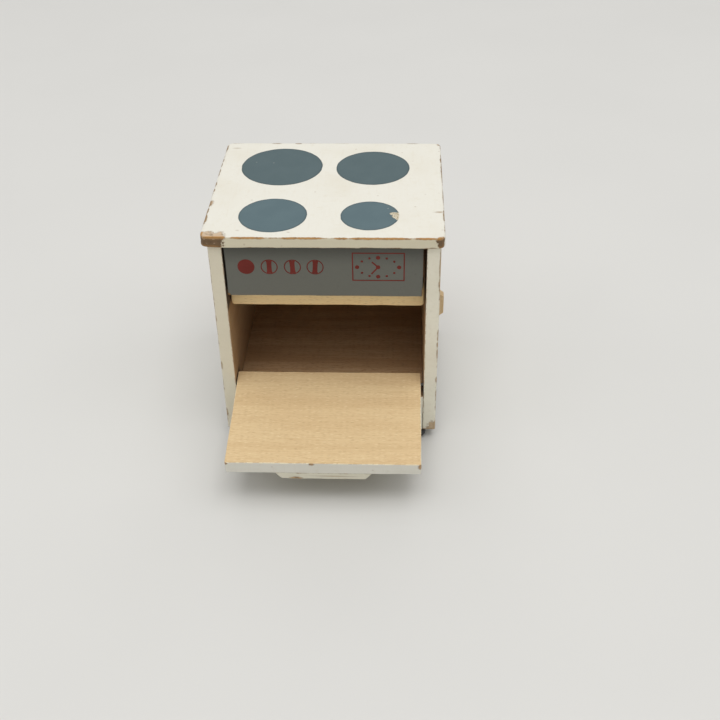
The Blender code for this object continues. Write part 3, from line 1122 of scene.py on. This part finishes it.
@dataclass
class Cabinet:
    """Side boards, back, oven floor, plinth, corner blocks and the side block."""

    side_block_insets: Place = (0.19, 0.38)
    # Heights on the side boards' inner faces between which no painted shade is laid.
    unshaded_inside: Place = (27.0, 60.0)
    side_wear: Place = (0.17, 0.30)
    core_ply: Place = (0.62, 0.45)
    # Painted light: the two side fronts' colours, the right one brighter for the stronger light on that side.
    side_front_light: tuple[Colour, Colour] = ((0.78, 0.72, 0.565), (0.87, 0.83, 0.69))
    side_chips: dict[str, tuple[Chip, ...]] = field(
        default_factory=lambda: {
            "left_side": (
                Chip((0.1, 0.0, 30.7), (0.5, 0.5, 1.6)),
                Chip((0.1, 0.0, 7.7), (0.5, 0.5, 1.9)),
                Chip((0.0, 0.0, 52.0), (0.35, 0.5, 1.4)),
            ),
            "right_side": (
                Chip((5.0, 0.0, 75.4), (0.5, 0.5, 1.5)),
                Chip((5.0, 0.0, 67.2), (0.55, 0.5, 1.8)),
                Chip((5.0, 0.0, 24.6), (0.5, 0.5, 1.3)),
                Chip((5.0, 0.0, 44.0), (0.35, 0.4, 1.0)),
                Chip((5.0, 0.0, 41.0), (0.45, 0.4, 1.2)),
                Chip((5.0, 0.0, 37.0), (0.45, 0.4, 2.0)),
                Chip((5.0, 0.0, 17.5), (0.30, 0.4, 1.2)),
                Chip((5.2, 0.0, -0.6), (3.6, 1.6, 5.2)),
                Chip((2.5, 0.0, -0.2), (2.4, 1.2, 1.1)),
            ),
        }
    )

    def build(self) -> None:
        """Makes every fixed board."""
        self._sides()
        self._back()
        self._floor()
        self._blocks()
        self._side_block()

    def _sides(self) -> None:
        """The two side boards: painted outside and in front, bare inside the oven."""
        for number, (name, inner) in enumerate((("left_side", Face.RIGHT), ("right_side", Face.LEFT))):
            low, high = corners(name)
            chips = self.side_chips[name]
            board = Board(low, high, 0, 0.4, 0.5, 0.4, 2.6, number * 7.0 + 1, chips[3:4])
            # Painted light on the front face, and painted shade on the bare inner face near its top and low
            # down near the front.
            paint = Paint(
                front_painted_light=self.side_front_light[number], arris_wear=self.side_wear[number], bare_faces=(inner,),
                unshaded=self.unshaded_inside, bare_front=(0.56, 0.42, 0.27), bare_arris=(0.42, 0.29, 0.16),
                spill=(0.52, 0.40, 0.27), chips=chips, shift=number * 9.0 + 3,
            )
            # Painted shade: the bare inner beech is darker than bare beech elsewhere, for the shade inside
            # the oven.
            wood = Beech(
                Grain.ALONG_Y, (0.48, 0.32, 0.175), (0.38, 0.21, 0.10),
                contrast=1.1, shift=number * 13.0, glints=0.0,
            )
            material = painted(f"{name}_paint", low, high, paint, wood)
            fit(f"{name}_board", board, material, "cream_paint", name)

    def _back(self) -> None:
        """The thin plywood back, whose edges show its plies."""
        low, high = corners("back_panel")
        shading = Shading("back_ply")
        point = shading.place()
        face = Beech(Grain.ALONG_Z, (0.70, 0.53, 0.34), (0.58, 0.40, 0.22), shift=40.0)
        face_ply = face.layer(shading, point)
        across = shading.parts(point)[1]
        core = abs(across - (low.y + high.y) / 2).rises(*self.core_ply)
        crossed = Beech(Grain.ALONG_X, (0.46, 0.30, 0.16), (0.36, 0.22, 0.11), shift=50.0)
        material = shading.finish(face_ply.under(crossed.layer(shading, point), core, shading), 0.25)
        fit("back_board", Board(low, high, 1, 0.2, 0.4, 0.4, 3.0, 5.0), material, "back_ply", "back_panel")

    def _floor(self) -> None:
        """The oven floor and the plinth under it."""
        left, right = corners("left_side")[1].x, corners("right_side")[0].x
        low, high = corners("oven_floor")
        low.x, high.x = left, right
        board = Board(low, high, 2, 0.35, 0.15, 0.4, 3.0, 11.0)
        # Painted shade: the oven floor's beech is darker and redder than bare beech elsewhere, for the shade
        # inside the oven.
        wood = Beech(
            Grain.ALONG_X, (0.52, 0.335, 0.185), (0.38, 0.215, 0.10), (0.16, 0.07, 0.03),
            contrast=2.0, shift=21.0, glints=0.0, flecks=0.22,
        )
        # Its front edge takes the right side's front colour, with that colour's painted light.
        paint = Paint(
            front_painted_light=self.side_front_light[1], arris_wear=0.08, shift=18.0,
            bare_faces=(Face.TOP, Face.UNDER, Face.BACK), spill=(0.5, 0.4, 0.3),
        )
        material = painted("floor_beech_painted_shade", low, high, paint, wood)
        fit("oven_floor_board", board, material, "raw_beech", "oven_floor")
        low, high = corners("front_plinth")
        low.x, high.x, high.z = left, right, corners("oven_floor")[0].z
        board = Board(low, high, 1, 0.25, 0.15, 0.4, 3.0, 12.0)
        # The plinth's front takes the right side's front colour, with that colour's painted light.
        paint = Paint(
            front_painted_light=self.side_front_light[1], arris_wear=0.10, shift=14.0,
            bare_faces=(Face.BACK,), spill=(0.8, 0.74, 0.6),
        )
        material = painted("plinth_paint", low, high, paint, Beech(shift=8.0))
        fit("plinth_board", board, material, "cream_paint", "front_plinth")

    def _blocks(self) -> None:
        """The four glue blocks under the floor."""
        for number, corner in enumerate(("front_left", "front_right", "rear_left", "rear_right")):
            node = f"corner_block_{corner}"
            low, high = corners(node)
            high.z = corners("oven_floor")[0].z
            board = Board(low, high, 2, 0.3, 0.35, 0.5, 2.4, 30.0 + number)
            wood = Beech(Grain.ALONG_Z, (0.62, 0.44, 0.25), (0.50, 0.33, 0.17), shift=60.0 + number * 4)
            fit(f"glue_block_{corner}", board, bare(f"block_{corner}", wood), "raw_beech", node)

    def _side_block(self) -> None:
        """The upright block with bevelled ends on the right side board."""
        low, high = corners("side_block")
        low.x = corners("right_side")[1].x
        middle = (low + high) / 2
        insets = (0.0, *self.side_block_insets)

        def taper(points: np.ndarray) -> np.ndarray:
            """Draws the outer end in.

            Args:
                points: points on the straight block.

            Returns:
                The points, moved.
            """
            depth = (points[:, 0] - low.x) / (high.x - low.x)
            for axis in (1, 2):
                points[:, axis] = middle[axis] + (points[:, axis] - middle[axis]) * (1 - insets[axis] * depth)
            return points

        board = Board(low, high, 0, 0.25, 0.3, 0.5, 0.7, 44.0, (), taper)
        wood = Beech(Grain.ALONG_Z, (0.66, 0.49, 0.29), (0.54, 0.37, 0.19), shift=70.0)
        fit("side_block_wood", board, bare("side_block_beech", wood), "raw_beech", "side_block")


@dataclass
class ControlPanel:
    """The grey panel with its printed dials and clock, and the bare rail below it.

    Places of the prints are millimetres from the middle of the cabinet and down from the hob's top.
    """

    film: float = 0.035
    dial_drop: float = 12.7
    dial_places: tuple[float, ...] = (-27.8, -19.6, -11.4, -3.4)
    dial_radius: float = 3.0
    ring_width: float = 0.36
    bar_half: float = 0.84
    bar_flare: float = 0.30
    bar_tilts: tuple[float, ...] = (0.0, 0.0, 2.0, -4.0)
    clock_left: float = 9.6
    clock_right: float = 28.1
    clock_top: float = 6.7
    clock_bottom: float = 18.25
    clock_line: float = 0.42
    hub: Place = (18.75, 12.6)
    quarter: tuple[Place, ...] = ((0.0, 3.87), (3.04, 3.6), (5.67, 2.33), (7.38, 0.0))
    hour_dots: Place = (0.76, 0.42)
    hub_radius: float = 0.78
    hands: tuple[tuple[Place, float], ...] = (((16.6, 10.5), 0.8), ((16.4, 15.4), 0.6))
    hand_half: float = 0.27
    dial_steps: int = 64
    dot_steps: int = 24
    bar_cuts: int = 6
    ink: tuple[Colour, Colour, Colour] = ((0.150, 0.020, 0.014), (0.210, 0.030, 0.022), (0.15, 0.15, 0.13))

    def build(self) -> None:
        """Makes the panel, its prints and the rail."""
        self._panel()
        self._rail()
        self._dials()
        self._clock()

    def _panel(self) -> None:
        """The grey board."""
        low, high = corners("control_panel")
        low.y += self.film
        board = Board(low, high, 1, 0.35, 0.45, 0.4, 2.4, 50.0)
        chips = (
            Chip((0.0, 0.2, 0.1), (0.9, 0.9, 0.9)),
            Chip((69.7, 0.0, 1.7), (0.3, 0.6, 2.2)),
        )
        # shade_top paints shade on the grey towards its top, under the hob's overhang.
        paint = Paint(
            colour=(0.150, 0.152, 0.130), stain=(0.125, 0.125, 0.106), rim=(0.10, 0.09, 0.07), roughness=0.45,
            specular=0.25, arris_wear=0.05, shade_top=0.36, bare_faces=(Face.BACK,), chips=chips, shift=33.0,
        )
        material = painted("panel_grey", low, high, paint, Beech(shift=18.0))
        fit("panel_board", board, material, "grey_paint", "control_panel")

    def _rail(self) -> None:
        """The bare beech rail that stops the door."""
        low, high = corners("door_stop_rail")
        low.y = corners("control_panel")[1].y
        board = Board(low, high, 1, 0.6, 1.2, 0.35, 2.4, 51.0)
        # Painted light: the rail's beech is paler than bare beech elsewhere, standing in for light it doesn't
        # get in the shade under the panel.
        wood = Beech(Grain.ALONG_X, (0.98, 0.76, 0.42), (0.90, 0.62, 0.29), contrast=1.0, shift=27.0)
        fit("door_stop_board", board, bare("rail_beech_painted_light", wood), "raw_beech", "door_stop_rail")

    def _put(self, film: Film, name: str) -> None:
        """Stands a film of prints on the panel's face.

        Args:
            film: the prints.
            name: the piece's name.
        """
        low, _ = corners("control_panel")
        top = corners("hob_top")[1].z
        middle = (corners("left_side")[0].x + corners("right_side")[1].x) / 2
        look = Print(*self.ink, roughness=0.45, scuffs=0.5)
        shading = Shading(name)
        material = shading.finish(look.layer(shading, shading.place(), Vector((0, 0, 0))), 0.2)
        item = show(name, film.mesh(name), material)
        item.rotation_euler = Euler((math.radians(90), 0, 0))
        item.location = Vector((middle, low.y + self.film, top)) * MM
        settle(item, "cabinet", "red_print")

    def _dials(self) -> None:
        """Four round dials: a plain disc, then rings with a pointer bar."""
        film = Film(self.film)
        hole = self.dial_radius - self.ring_width
        for number, x in enumerate(self.dial_places):
            middle = (x, -self.dial_drop)
            outer = wobbly_circle(middle, self.dial_radius, self.dial_steps, 0.05, number * 2.0)
            if number == 0:
                film.patch(outer)
                continue
            film.strip(outer, wobbly_circle(middle, hole, self.dial_steps, 0.06, number * 2.0 + 1))
            film.patch(self._bar(middle, self.bar_tilts[number]), 0.8)
        self._put(film, "dial_marks")

    def _bar(self, middle: Place, tilt: float) -> list[Place]:
        """A pointer bar, narrow at its waist and flared into the ring above and below.

        Args:
            middle: the dial's middle.
            tilt: the bar's turn in degrees.

        Returns:
            Its outline, counter-clockwise.
        """
        reach = self.dial_radius - self.ring_width * 0.6
        right = []
        for i in range(2 * self.bar_cuts + 1):
            share = -1 + i / self.bar_cuts
            half = self.bar_half + self.bar_flare * share**4
            right.append((half, share * math.sqrt(max(reach**2 - half**2, 0))))
        left = [(-x, y) for x, y in reversed(right)]
        turn = math.radians(tilt)
        points = []
        for x, y in right + left:
            points.append((
                middle[0] + x * math.cos(turn) - y * math.sin(turn),
                middle[1] + x * math.sin(turn) + y * math.cos(turn),
            ))
        return points

    def _clock(self) -> None:
        """The clock: a frame, twelve dots and two hands."""
        film = Film(self.film)
        film.strip(self._rectangle(0.0), self._rectangle(self.clock_line))
        hub_x, hub_drop = self.hub
        for hour in range(12):
            across, up = self.quarter[hour % 6 if hour % 6 <= 3 else 6 - hour % 6]
            x = hub_x + math.copysign(across, 6 - hour)
            y = -hub_drop + math.copysign(up, abs(6 - hour) - 3)
            radius = self.hour_dots[0 if hour % 3 == 0 else 1]
            film.patch(wobbly_circle((x, y), radius, self.dot_steps, 0.09, hour * 1.0))
        film.patch(wobbly_circle((hub_x, -hub_drop), self.hub_radius, self.dot_steps, 0.06, 3.0))
        for (tip_x, tip_drop), share in self.hands:
            film.patch(self._hand((hub_x, -hub_drop), (tip_x, -tip_drop), self.hand_half), share)
        self._put(film, "clock_marks")

    def _rectangle(self, inset: float) -> list[Place]:
        """The clock's outline.

        Args:
            inset: how far it is drawn in.

        Returns:
            Its four corners, counter-clockwise.
        """
        left, right = self.clock_left + inset, self.clock_right - inset
        top, bottom = -self.clock_top - inset, -self.clock_bottom + inset
        return [(left, bottom), (right, bottom), (right, top), (left, top)]

    @staticmethod
    def _hand(start: Place, end: Place, half: float) -> list[Place]:
        """A straight hand.

        Args:
            start: its end at the hub.
            end: its tip.
            half: half its width.

        Returns:
            Its four corners, counter-clockwise.
        """
        along = Vector((end[0] - start[0], end[1] - start[1])).normalized()
        side = Vector((-along.y, along.x)) * half
        return [
            (start[0] - side.x, start[1] - side.y),
            (end[0] - side.x, end[1] - side.y),
            (end[0] + side.x, end[1] + side.y),
            (start[0] + side.x, start[1] + side.y),
        ]


# ================================================================== the door
@dataclass
class Door:
    """The oven door and its handle, which turn on the hinge nails. The door is drawn closed, about its hinge.
    """

    length: float = 44.9
    thickness: float = 5.6
    pin_above_end: float = 3.45
    handle_thickness: float = 3.2
    handle_width: float = 7.0
    handle_length: float = 35.0
    handle_outer: float = 30.2
    hinge: Vector = field(init=False)
    open: float = field(init=False)

    def build(self) -> None:
        """Makes the door and its handle."""
        joint = frame["joints"][0]
        self.hinge = Vector(joint["pos_m"])
        self.open = math.radians(joint["range_deg"][1])
        self._door()
        self._handle()

    def _hang(self, item: bpy.types.Object, *nodes: str, slot: str) -> None:
        """Turns a piece drawn closed to where the door rests open, and lets it ride on the door."""
        item.matrix_world = Matrix.Translation(self.hinge) @ Matrix.Rotation(self.open, 4, "X")
        settle(item, "door", slot, *nodes)

    def _door(self) -> None:
        """The board: painted outside and round its edges, bare on its inner face."""
        box_low, box_high = corners("oven_door")
        hinge_x = self.hinge.x / MM
        low = Vector((box_low.x - hinge_x, -self.thickness / 2, -self.pin_above_end))
        high = Vector((box_high.x - hinge_x, self.thickness / 2, self.length - self.pin_above_end))

        def round_heel(points: np.ndarray) -> np.ndarray:
            """Rounds the outer lower corner about the hinge, so that it clears the oven floor.

            Args:
                points: points on the square board.

            Returns:
                The points, moved.
            """
            reach = np.hypot(points[:, 1], points[:, 2])
            heel = (points[:, 1] < 0) & (points[:, 2] < 0) & (reach > self.pin_above_end)
            share = np.where(heel, self.pin_above_end / np.maximum(reach, 1e-6), 1.0)
            points[:, 1] *= share
            points[:, 2] *= share
            return points

        chips = (
            Chip((0.3, 4.9, 44.8), (0.7, 0.6, 0.6)),
            Chip((69.7, 4.4, 44.9), (0.7, 1.3, 0.5)),
            Chip((31.0, 5.0, 44.9), (0.8, 0.5, 0.4)),
        )
        board = Board(low, high, 1, 0.35, 0.45, 0.4, 2.2, 60.0, (), round_heel)
        paint = Paint(
            arris_wear=0.06, bare_faces=(Face.BACK,), chips=chips, shift=45.0, bare_arris=(0.50, 0.32, 0.17)
        )
        wood = Beech(Grain.ALONG_X, shift=90.0)
        material = painted("door_paint", low, high, paint, wood)
        self._hang(show("door_board", board.mesh("door"), material), "oven_door", slot="raw_beech")

    def _handle(self) -> None:
        """The strip glued along the door's upper edge, with its ends cut back."""
        box_low, box_high = corners("oven_door")
        middle = (box_low.x + box_high.x) / 2 - self.hinge.x / MM
        top = self.length - self.pin_above_end
        face = -self.thickness / 2
        low = Vector((middle - self.handle_length / 2, face - self.handle_thickness, top - self.handle_width))
        high = Vector((middle + self.handle_length / 2, face, top))
        cut = (self.handle_length - self.handle_outer) / self.handle_length

        def cut_ends(points: np.ndarray) -> np.ndarray:
            """Draws the ends in towards the outer face.

            Args:
                points: points on the square strip.

            Returns:
                The points, moved.
            """
            depth = (high.y - points[:, 1]) / self.handle_thickness
            points[:, 0] = middle + (points[:, 0] - middle) * (1 - cut * depth)
            return points

        chips = (
            Chip((7.5, 0.3, 6.9), (2.0, 0.8, 0.6)),
            Chip((21.0, 1.7, 7.0), (3.4, 0.12, 0.5)),
        )
        board = Board(low, high, 1, 0.3, 0.35, 0.5, 1.6, 61.0, (), cut_ends)
        paint = Paint(
            (0.78, 0.745, 0.60), arris_wear=0.14, chips=chips, shift=52.0, bare_flat=(0.66, 0.50, 0.31),
            bare_arris=(0.60, 0.40, 0.20),
        )
        material = painted("handle_paint", low, high, paint, Beech())
        self._hang(show("handle_strip", board.mesh("handle"), material), "door_handle", slot="cream_paint")


# ================================================================== nails and glides
@dataclass
class Fixings:
    """The hinge nails, the back's brads, and the four glides with their nails.

    A head's turning is shares of its radius and thickness. A glide's shoulder is shares of its radius, and
    millimetres down from its top.
    """

    steps: int = 48
    shank: float = 0.6
    brad_shank: float = 0.5
    point_length: float = 1.2
    tip: float = 0.06
    neck: float = 0.25
    head_turning: tuple[Place, ...] = ((0.85, 1.0), (1.0, 0.75), (1.0, 0.2), (0.9, 0.04), (0.5, 0.0))
    glide_flat: float = 1.6
    glide_rim: float = 1.5
    glide_seat: float = 0.3
    glide_cuts: int = 14
    glide_lift: float = 0.02
    glide_shoulder: tuple[Place, ...] = ((1.0, 0.5), (0.985, 0.25), (0.93, 0.05), (0.85, 0.0))

    def build(self) -> None:
        """Makes every fixing."""
        steel = self._steel()
        plastic = self._plastic()
        for side, sign in (("left", -1), ("right", 1)):
            self._nail(f"hinge_pin_{side}", Vector((sign, 0, 0)), steel, 1.2, 0.5)
            for row in (1, 2, 3):
                self._nail(f"back_brad_{side}_{row}", Vector((0, 1, 0)), steel, 1.0, 0.4)
        for corner in ("front_left", "front_right", "rear_left", "rear_right"):
            self._nail(f"foot_nail_{corner}", Vector((0, 0, 1)), steel, 0.0, 0.0)
            self._glide(f"foot_{corner}", plastic)

    @staticmethod
    def _steel() -> bpy.types.Material:
        """Dull drawn steel with fine rings and a little rust.

        Returns:
            The material.
        """
        shading = Shading("nail_steel")
        point = shading.place()
        drawn = shading.noise(point, 6.0, 3.0)
        rust = shading.noise(point, 1.2, 4.0, 5.0).rises(0.52, 0.7)
        colour = shading.mix((0.14, 0.135, 0.125), (0.08, 0.075, 0.07), drawn.rises(0.4, 0.7))
        colour = shading.mix(colour, (0.20, 0.09, 0.04), rust * 0.6)
        return shading.finish(Layer(colour, 0.34 + rust * 0.3 + drawn * 0.1, drawn * 0.02), 0.5, 0.9)

    @staticmethod
    def _plastic() -> bpy.types.Material:
        """Black moulded plastic, scuffed underneath.

        Returns:
            The material.
        """
        shading = Shading("glide_plastic")
        point = shading.place()
        mould = shading.noise(point, 3.0, 3.0)
        scuff = shading.noise(point, (0.9, 5.0, 0.9), 3.0, 8.0).rises(0.55, 0.75)
        colour = shading.mix((0.012, 0.012, 0.013), (0.05, 0.05, 0.048), scuff * 0.7)
        return shading.finish(Layer(colour, 0.30 + mould * 0.15 + scuff * 0.2, mould * 0.015), 0.5)

    def _nail(
        self, node: str, out: Vector, material: bpy.types.Material, head: float, thick: float
    ) -> None:
        """One nail, its head's face at the high end along out.

        Args:
            node: the frame node it stands for.
            out: the direction from its point to its head.
            material: its finish.
            head: the head's radius, or 0 for none.
            thick: the head's thickness.
        """
        low, high = corners(node)
        length = abs((high - low).dot(out))
        middle = (low + high) / 2
        shank = self.brad_shank if node.startswith("back_brad") else self.shank
        point = min(self.point_length, length / 3)
        profile = [(0, -length), (self.tip, -length)]
        profile += [(shank * 0.55, -length + point * 0.5), (shank, -length + point)]
        if head:
            profile.append((shank, -thick - self.neck))
            profile += [(head * across, -thick * down) for across, down in self.head_turning]
        else:
            profile += [(shank, -0.1), (shank * 0.85, 0.0)]
        profile.append((0, 0.0))
        item = show(f"{node}_steel", turned(node, profile, self.steps), material)
        at = middle + out * (length / 2)
        item.matrix_world = Matrix.Translation(at * MM) @ out.to_track_quat("Z", "Y").to_matrix().to_4x4()
        settle(item, "cabinet", "steel_nail", node)

    def _glide(self, node: str, material: bpy.types.Material) -> None:
        """One domed glide with a rolled shoulder.

        Args:
            node: the frame node it stands for.
            material: its finish.
        """
        low, high = corners(node)
        radius = (high.x - low.x) / 2
        top = high.z - low.z + self.glide_seat
        flat, lift = self.glide_flat, self.glide_lift
        dome = top - self.glide_rim
        profile = [(0, 0.0), (flat * 0.6, 0.0), (flat, lift)]
        for i in range(1, self.glide_cuts + 1):
            angle = math.radians(90 * i / self.glide_cuts)
            across = flat + (radius - flat) * math.sin(angle)
            profile.append((across, lift + (dome - lift) * (1 - math.cos(angle))))
        profile += [(radius * share, top - down) for share, down in self.glide_shoulder]
        profile.append((0, top))
        item = show(f"{node}_glide", turned(node, profile, self.steps * 2), material)
        item.location = Vector(((low.x + high.x) / 2, (low.y + high.y) / 2, low.z)) * MM
        settle(item, "cabinet", "black_plastic", node)


# ================================================================== the studio
@dataclass(frozen=True)
class Lamp:
    """One soft square lamp, aimed at the stove. Lengths are metres.

    Azimuth 0 is in front of the stove and 90 on its right.
    """

    name: str
    azimuth: float
    elevation: float
    power: float
    colour: Colour = WHITE
    distance: float = 2.2
    size: float = 1.6
    aim: Triple = (0.0, 0.0, 0.04)

    def build(self) -> None:
        """Makes the lamp."""
        turn, rise = math.radians(self.azimuth), math.radians(self.elevation)
        away = Vector((math.sin(turn) * math.cos(rise), -math.cos(turn) * math.cos(rise), math.sin(rise)))
        data = bpy.data.lights.new(self.name, "AREA")
        data.shape = "SQUARE"
        data.size = self.size
        data.energy = self.power
        data.color = self.colour
        item = bpy.data.objects.new(self.name, data)
        bpy.context.scene.collection.objects.link(item)
        facing = away.to_track_quat("Z", "Y").to_matrix().to_4x4()
        item.matrix_world = Matrix.Translation(Vector(self.aim) + away * self.distance) @ facing


@dataclass
class Studio:
    """The table, the light and the camera.

    The camera's place is in widths of the hob board from the front edge of its top, its angles are degrees,
    its lens and sensor are millimetres, and the table's sizes are metres.
    """

    table_colour: Colour = (0.678, 0.670, 0.643)
    table_half: float = 3.0
    table_gap: float = 0.00002
    sky_colour: Colour = WHITE
    sky_strength: float = 0.343
    lamps: tuple[Lamp, ...] = (
        Lamp("overhead_lamp", 0, 80, 16.5),
        Lamp("front_lamp", 0, 62, 8.6),
        Lamp("rear_lamp", 180, 50, 8.2),
        Lamp("left_lamp", -80, 46, 6.2),
        Lamp("right_lamp", 80, 60, 9.5),
    )
    camera_place: Triple = (0.3175, -3.6623, 2.1303)
    pitch: float = 36.80
    yaw: float = -2.687
    roll: float = -1.053
    lens: float = 52.3
    sensor: float = 36.0

    def build(self) -> None:
        """Makes the table, the lights and the camera."""
        self._table()
        self._light()
        self._camera()

    def _table(self) -> None:
        """A large plain sheet of white card."""
        shading = Shading("white_card")
        point = shading.place()
        tooth = shading.noise(point, 1.5, 3.0)
        cloud = shading.noise(point, 0.01, 2.0)
        warm = tuple(c * 0.985 for c in self.table_colour)
        colour = shading.mix(self.table_colour, warm, cloud.rises(0.3, 0.7))
        material = shading.finish(Layer(colour, 0.75 + tooth * 0.1, tooth * 0.01), 0.2)
        data = bmesh.new()
        bmesh.ops.create_grid(data, x_segments=8, y_segments=8, size=self.table_half)
        mesh = bpy.data.meshes.new("table")
        data.to_mesh(mesh)
        data.free()
        mesh.materials.append(material)
        table = bpy.data.objects.new("table", mesh)
        bpy.context.scene.collection.objects.link(table)
        table.location.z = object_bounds()[0].z - self.table_gap
        table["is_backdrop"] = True

    def _light(self) -> None:
        """An even sky and the soft lamps."""
        world = bpy.data.worlds.new("studio")
        world.use_nodes = True
        sky = world.node_tree.nodes["Background"]
        sky.inputs["Color"].default_value = (*self.sky_colour, 1.0)
        sky.inputs["Strength"].default_value = self.sky_strength
        bpy.context.scene.world = world
        for lamp in self.lamps:
            lamp.build()

    def _camera(self) -> None:
        """The camera, placed from the front edge of the hob's top."""
        low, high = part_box("hob_top")
        width = high.x - low.x
        edge = Vector(((low.x + high.x) / 2, low.y, high.z))
        pitch, yaw, roll = (math.radians(a) for a in (self.pitch, self.yaw, self.roll))
        ahead = Vector((math.sin(yaw) * math.cos(pitch), math.cos(yaw) * math.cos(pitch), -math.sin(pitch)))
        level = Vector((math.cos(yaw), -math.sin(yaw), 0))
        lift = level.cross(ahead)
        right = level * math.cos(roll) + lift * math.sin(roll)
        up = lift * math.cos(roll) - level * math.sin(roll)
        turn = Matrix((right, up, -ahead)).transposed().to_4x4()
        camera = bpy.data.cameras.new("camera")
        camera.lens = self.lens
        camera.sensor_width = self.sensor
        item = bpy.data.objects.new("camera", camera)
        bpy.context.scene.collection.objects.link(item)
        item.matrix_world = Matrix.Translation(edge + Vector(self.camera_place) * width) @ turn
        bpy.context.scene.camera = item


def main() -> None:
    """Builds the stove and its studio."""
    logging.basicConfig(level=logging.INFO, format="%(name)s: %(message)s")
    bpy.context.scene.view_settings.view_transform = "Standard"
    Studio().build()
    for assembly in (Hob(), Cabinet(), ControlPanel(), Door(), Fixings()):
        assembly.build()


if __name__ == "__main__":
    main()
